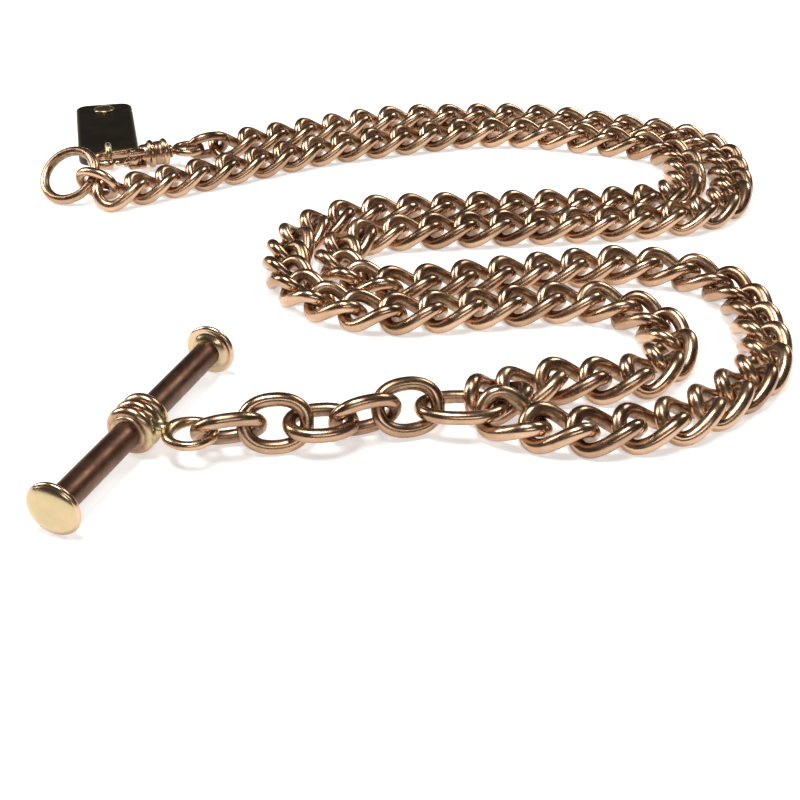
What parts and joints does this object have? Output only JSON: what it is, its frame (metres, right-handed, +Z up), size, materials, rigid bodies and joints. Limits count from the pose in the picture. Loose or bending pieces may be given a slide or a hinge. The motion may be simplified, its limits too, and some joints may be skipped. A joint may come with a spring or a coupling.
{
  "type": "pocket watch chain",
  "caption": "Double pocket watch chain of twisted curb links with a T-bar on a short drop, a plain end ring, and a swivel clip that holds a fob tab.",
  "frame": {"origin": "on the table plane, under the middle of the chain's overall box", "axes": "+Z up from the table; +Y away from the T-bar end, over the table; +X from the T-bar towards the junction link"},
  "size_m": [0.1083, 0.124, 0.0069],
  "materials": {
    "rose_gold": "worn rose gold, polished on the high spots and dark in the hollows",
    "pale_gilt": "pale yellow gilt, polished",
    "dark_rod": "dark toned polished metal",
    "solder_gold": "greenish gold solder, satin",
    "spring_steel": "drawn spring wire",
    "black_enamel": "near black, smooth"
  },
  "bodies": {
    "junction_link": {"junction_link": "rose_gold"},
    "drop_link_5": {"drop_link_5": "rose_gold"},
    "drop_link_4": {"drop_link_4": "rose_gold"},
    "drop_link_3": {"drop_link_3": "rose_gold"},
    "drop_link_2": {"drop_link_2": "rose_gold"},
    "drop_link_1": {"drop_link_1": "rose_gold"},
    "t_bar": {"t_bar_rod": "dark_rod", "t_bar_near_cap": "pale_gilt", "t_bar_far_cap": "pale_gilt", "t_bar_collar": "rose_gold", "t_bar_eye": "solder_gold"},
    "long_strand_1": {"long_strand_1": "rose_gold"},
    "long_strand_2": {"long_strand_2": "rose_gold"},
    "long_strand_3": {"long_strand_3": "rose_gold"},
    "long_strand_4": {"long_strand_4": "rose_gold"},
    "long_strand_5": {"long_strand_5": "rose_gold"},
    "long_strand_6": {"long_strand_6": "rose_gold"},
    "long_strand_7": {"long_strand_7": "rose_gold"},
    "long_strand_8": {"long_strand_8": "rose_gold"},
    "long_strand_9": {"long_strand_9": "rose_gold"},
    "long_strand_10": {"long_strand_10": "rose_gold"},
    "long_strand_11": {"long_strand_11": "rose_gold"},
    "long_strand_12": {"long_strand_12": "rose_gold"},
    "long_strand_13": {"long_strand_13": "rose_gold"},
    "long_strand_14": {"long_strand_14": "rose_gold"},
    "long_strand_15": {"long_strand_15": "rose_gold"},
    "short_strand_1": {"short_strand_1": "rose_gold"},
    "short_strand_2": {"short_strand_2": "rose_gold"},
    "short_strand_3": {"short_strand_3": "rose_gold"},
    "short_strand_4": {"short_strand_4": "rose_gold"},
    "short_strand_5": {"short_strand_5": "rose_gold"},
    "short_strand_6": {"short_strand_6": "rose_gold"},
    "short_strand_7": {"short_strand_7": "rose_gold"},
    "short_strand_8": {"short_strand_8": "rose_gold"},
    "short_strand_9": {"short_strand_9": "rose_gold"},
    "short_strand_10": {"short_strand_10": "rose_gold"},
    "short_strand_11": {"short_strand_11": "rose_gold"},
    "short_strand_12": {"short_strand_12": "rose_gold"},
    "short_strand_13": {"short_strand_13": "rose_gold"},
    "short_strand_14": {"short_strand_14": "rose_gold"},
    "ring_jump_link": {"ring_jump_link": "rose_gold"},
    "end_ring": {"end_ring": "rose_gold"},
    "clip_jump_link": {"clip_jump_link": "rose_gold"},
    "swivel_eye": {"swivel_eye": "rose_gold"},
    "clip": {"clip_body": "rose_gold", "lever_pin": "rose_gold"},
    "clip_lever": {"clip_lever": "rose_gold", "lever_spring": "spring_steel"},
    "fob_tab": {"fob_tab": "black_enamel", "tab_eye": "solder_gold", "tab_stud": "solder_gold"}
  },
  "joints": [
    {"name": "swing_of_drop_link_5", "type": "hinge", "parent": "junction_link", "child": "drop_link_5", "pos_m": [0.00358, -0.042, 0.00261], "axis": [0, 0.9928, -0.1201], "range_deg": [-20, 20]},
    {"name": "swing_of_drop_link_4", "type": "hinge", "parent": "drop_link_5", "child": "drop_link_4", "pos_m": [-0.00081, -0.0434, 0.00293], "axis": [-0.1719, 0.5621, 0.809], "range_deg": [-20, 20]},
    {"name": "swing_of_drop_link_3", "type": "hinge", "parent": "drop_link_4", "child": "drop_link_3", "pos_m": [-0.00518, -0.04516, 0.00293], "axis": [-0.1571, 0.4093, -0.8988], "range_deg": [-20, 20]},
    {"name": "swing_of_drop_link_2", "type": "hinge", "parent": "drop_link_3", "child": "drop_link_2", "pos_m": [-0.00989, -0.04565, 0.00273], "axis": [-0.1392, 0.9901, 0.0175], "range_deg": [-20, 20]},
    {"name": "swing_of_drop_link_1", "type": "hinge", "parent": "drop_link_2", "child": "drop_link_1", "pos_m": [-0.01452, -0.04608, 0.0029], "axis": [-0.0632, 0.4496, 0.891], "range_deg": [-20, 20]},
    {"name": "turn_of_t_bar", "type": "hinge", "parent": "drop_link_1", "child": "t_bar", "pos_m": [-0.01972, -0.04759, 0.0029], "axis": [0, 0, 1], "range_deg": [-50, 50]},
    {"name": "flex_of_long_strand_1", "type": "hinge", "parent": "junction_link", "child": "long_strand_1", "pos_m": [0.01193, -0.042, 0.00261], "axis": [0, 0.9928, -0.1201], "range_deg": [-8, 8]},
    {"name": "flex_of_short_strand_1", "type": "hinge", "parent": "junction_link", "child": "short_strand_1", "pos_m": [0.01193, -0.042, 0.00261], "axis": [0, 0.9928, -0.1201], "range_deg": [-3, 8]},
    {"name": "flex_of_long_strand_2", "type": "hinge", "parent": "long_strand_1", "child": "long_strand_2", "pos_m": [0.02976, -0.04384, 0.0019], "axis": [0.4177, -0.9086, 0], "range_deg": [-12, 12]},
    {"name": "flex_of_long_strand_3", "type": "hinge", "parent": "long_strand_2", "child": "long_strand_3", "pos_m": [0.04299, -0.02992, 0.0019], "axis": [-0.9569, 0.2903, 0], "range_deg": [-12, 12]},
    {"name": "flex_of_long_strand_4", "type": "hinge", "parent": "long_strand_3", "child": "long_strand_4", "pos_m": [0.04172, -0.01078, 0.0019], "axis": [0.8207, 0.5713, 0], "range_deg": [-12, 12]},
    {"name": "flex_of_long_strand_5", "type": "hinge", "parent": "long_strand_4", "child": "long_strand_5", "pos_m": [0.02387, -0.00639, 0.0019], "axis": [0.2168, -0.9762, 0], "range_deg": [-12, 12]},
    {"name": "flex_of_long_strand_6", "type": "hinge", "parent": "long_strand_5", "child": "long_strand_6", "pos_m": [0.00485, -0.0111, 0.0019], "axis": [-0.1836, 0.983, 0], "range_deg": [-12, 12]},
    {"name": "flex_of_long_strand_7", "type": "hinge", "parent": "long_strand_6", "child": "long_strand_7", "pos_m": [-0.00653, -0.0006, 0.0019], "axis": [-0.9479, 0.3186, 0], "range_deg": [-12, 12]},
    {"name": "flex_of_long_strand_8", "type": "hinge", "parent": "long_strand_7", "child": "long_strand_8", "pos_m": [0.01052, 0.00603, 0.0019], "axis": [0.1044, -0.9945, 0], "range_deg": [-12, 12]},
    {"name": "flex_of_long_strand_9", "type": "hinge", "parent": "long_strand_8", "child": "long_strand_9", "pos_m": [0.03, 0.00813, 0.0019], "axis": [-0.1434, 0.9897, 0], "range_deg": [-12, 12]},
    {"name": "flex_of_long_strand_10", "type": "hinge", "parent": "long_strand_9", "child": "long_strand_10", "pos_m": [0.04768, 0.01511, 0.0019], "axis": [0.8023, -0.5969, 0], "range_deg": [-12, 12]},
    {"name": "flex_of_long_strand_11", "type": "hinge", "parent": "long_strand_10", "child": "long_strand_11", "pos_m": [0.05113, 0.03406, 0.0019], "axis": [-0.987, -0.1609, 0], "range_deg": [-12, 12]},
    {"name": "flex_of_long_strand_12", "type": "hinge", "parent": "long_strand_11", "child": "long_strand_12", "pos_m": [0.03775, 0.04677, 0.0019], "axis": [0.3686, 0.9296, 0], "range_deg": [-12, 12]},
    {"name": "flex_of_long_strand_13", "type": "hinge", "parent": "long_strand_12", "child": "long_strand_13", "pos_m": [0.01906, 0.05225, 0.0019], "axis": [-0.0425, -0.9991, 0], "range_deg": [-12, 12]},
    {"name": "flex_of_long_strand_14", "type": "hinge", "parent": "long_strand_13", "child": "long_strand_14", "pos_m": [-0.00045, 0.05085, 0.0019], "axis": [-0.2488, 0.9686, 0], "range_deg": [-12, 12]},
    {"name": "flex_of_long_strand_15", "type": "hinge", "parent": "long_strand_14", "child": "long_strand_15", "pos_m": [-0.01823, 0.04268, 0.0019], "axis": [0.4496, -0.8932, 0], "range_deg": [-12, 12]},
    {"name": "flex_of_short_strand_2", "type": "hinge", "parent": "short_strand_1", "child": "short_strand_2", "pos_m": [0.02759, -0.03449, 0.0019], "axis": [0.43, -0.9028, 0], "range_deg": [-12, 12]},
    {"name": "flex_of_short_strand_3", "type": "hinge", "parent": "short_strand_2", "child": "short_strand_3", "pos_m": [0.0291, -0.01801, 0.0019], "axis": [-0.6511, -0.759, 0], "range_deg": [-12, 12]},
    {"name": "flex_of_short_strand_4", "type": "hinge", "parent": "short_strand_3", "child": "short_strand_4", "pos_m": [0.01021, -0.01784, 0.0019], "axis": [-0.1657, 0.9862, 0], "range_deg": [-12, 12]},
    {"name": "flex_of_short_strand_5", "type": "hinge", "parent": "short_strand_4", "child": "short_strand_5", "pos_m": [-0.00846, -0.01569, 0.0019], "axis": [-0.6523, -0.758, 0], "range_deg": [-12, 12]},
    {"name": "flex_of_short_strand_6", "type": "hinge", "parent": "short_strand_5", "child": "short_strand_6", "pos_m": [-0.01268, 0.00238, 0.0019], "axis": [0.9491, -0.315, 0], "range_deg": [-12, 12]},
    {"name": "flex_of_short_strand_7", "type": "hinge", "parent": "short_strand_6", "child": "short_strand_7", "pos_m": [0.00263, 0.01231, 0.0019], "axis": [-0.0946, 0.9955, 0], "range_deg": [-12, 12]},
    {"name": "flex_of_short_strand_8", "type": "hinge", "parent": "short_strand_7", "child": "short_strand_8", "pos_m": [0.02216, 0.01392, 0.0019], "axis": [0.0817, -0.9967, 0], "range_deg": [-12, 12]},
    {"name": "flex_of_short_strand_9", "type": "hinge", "parent": "short_strand_8", "child": "short_strand_9", "pos_m": [0.04102, 0.01807, 0.0019], "axis": [-0.6802, 0.733, 0], "range_deg": [-12, 12]},
    {"name": "flex_of_short_strand_10", "type": "hinge", "parent": "short_strand_9", "child": "short_strand_10", "pos_m": [0.04312, 0.03648, 0.0019], "axis": [0.8192, 0.5736, 0], "range_deg": [-12, 12]},
    {"name": "flex_of_short_strand_11", "type": "hinge", "parent": "short_strand_10", "child": "short_strand_11", "pos_m": [0.02544, 0.04423, 0.0019], "axis": [-0.251, -0.968, 0], "range_deg": [-12, 12]},
    {"name": "flex_of_short_strand_12", "type": "hinge", "parent": "short_strand_11", "child": "short_strand_12", "pos_m": [0.0062, 0.04323, 0.0019], "axis": [-0.3037, 0.9528, 0], "range_deg": [-12, 12]},
    {"name": "flex_of_short_strand_13", "type": "hinge", "parent": "short_strand_12", "child": "short_strand_13", "pos_m": [-0.01217, 0.03646, 0.0019], "axis": [0.4646, -0.8855, 0], "range_deg": [-12, 12]},
    {"name": "flex_of_short_strand_14", "type": "hinge", "parent": "short_strand_13", "child": "short_strand_14", "pos_m": [-0.02882, 0.02612, 0.0019], "axis": [-0.5319, 0.8468, 0], "range_deg": [-12, 12]},
    {"name": "swing_of_ring_jump_link", "type": "hinge", "parent": "short_strand_14", "child": "ring_jump_link", "pos_m": [-0.04205, 0.01781, 0.0019], "axis": [0.3632, -0.5783, -0.7305], "range_deg": [-20, 5]},
    {"name": "swing_of_end_ring", "type": "hinge", "parent": "ring_jump_link", "child": "end_ring", "pos_m": [-0.04528, 0.02133, 0.003], "axis": [-0.1445, -0.31, 0.9397], "range_deg": [-20, 20]},
    {"name": "swing_of_clip_jump_link", "type": "hinge", "parent": "long_strand_15", "child": "clip_jump_link", "pos_m": [-0.02781, 0.03786, 0.0019], "axis": [0.307, -0.61, -0.7305], "range_deg": [-20, 20]},
    {"name": "swing_of_swivel_eye", "type": "hinge", "parent": "clip_jump_link", "child": "swivel_eye", "pos_m": [-0.03138, 0.03618, 0.0025], "axis": [0.2406, -0.4722, 0.848], "range_deg": [-20, 20]},
    {"name": "spin_of_clip", "type": "hinge", "parent": "swivel_eye", "child": "clip", "pos_m": [-0.0317, 0.0361, 0.00246], "axis": [-0.9205, -0.3907, 0], "range_deg": [-30, 30]},
    {"name": "clip_lever_pivot", "type": "hinge", "parent": "clip", "child": "clip_lever", "pos_m": [-0.03938, 0.03143, 0.00246], "axis": [0, 0, -1], "range_deg": [0, 18], "stiffness_Nm_per_rad": 0.01, "springref_deg": -11.46},
    {"name": "swing_of_fob_tab", "type": "hinge", "parent": "clip", "child": "fob_tab", "pos_m": [-0.04292, 0.03362, 0.00246], "axis": [-0.9205, -0.3907, 0], "range_deg": [-20, 20]}
  ]
}
